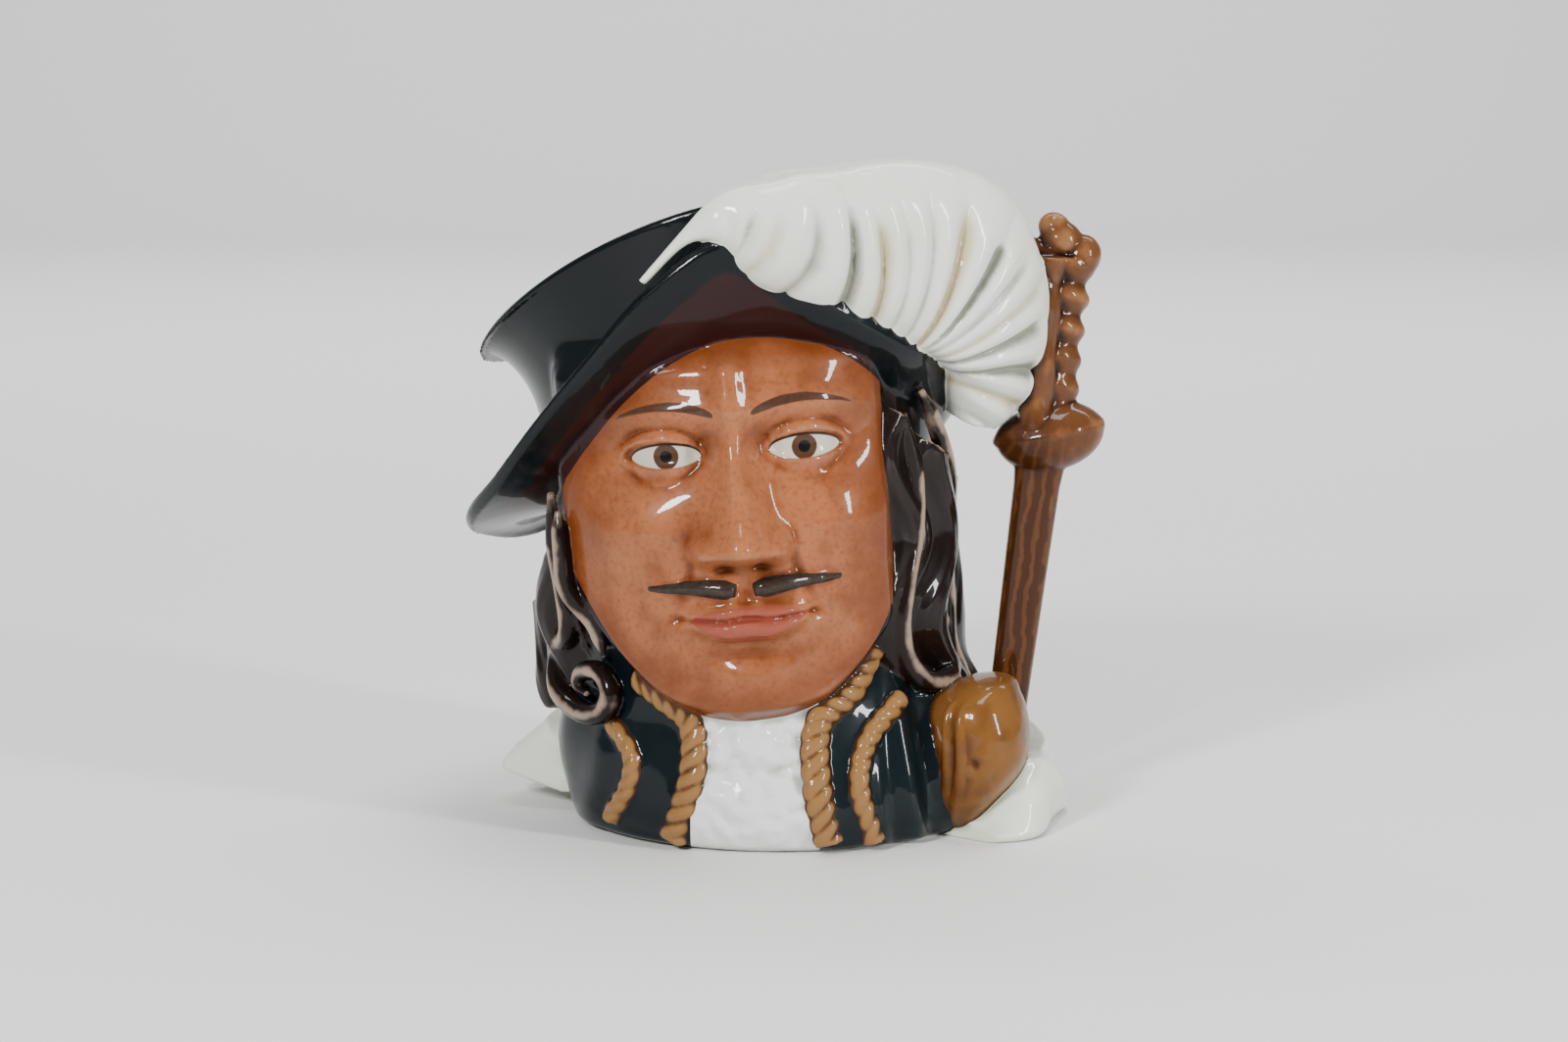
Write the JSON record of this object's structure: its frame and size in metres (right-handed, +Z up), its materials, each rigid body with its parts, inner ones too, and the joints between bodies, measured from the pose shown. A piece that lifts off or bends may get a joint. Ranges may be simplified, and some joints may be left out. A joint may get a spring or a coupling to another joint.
{
  "type": "toby jug",
  "caption": "Hollow glazed jug modelled as a head in a broad plumed hat, open at the crown, with a sword standing in a glove as its handle.",
  "frame": {"origin": "on the standing plane, under the middle of the jug's outside box", "axes": "+Z up to the plume, -Y the way the face looks, +X towards the handle"},
  "size_m": [0.1788, 0.1442, 0.1877],
  "materials": {
    "glaze": "underglaze painted earthenware, clear gloss glaze"
  },
  "bodies": {
    "root": {"toby_jug": "glaze"}
  },
  "joints": []
}
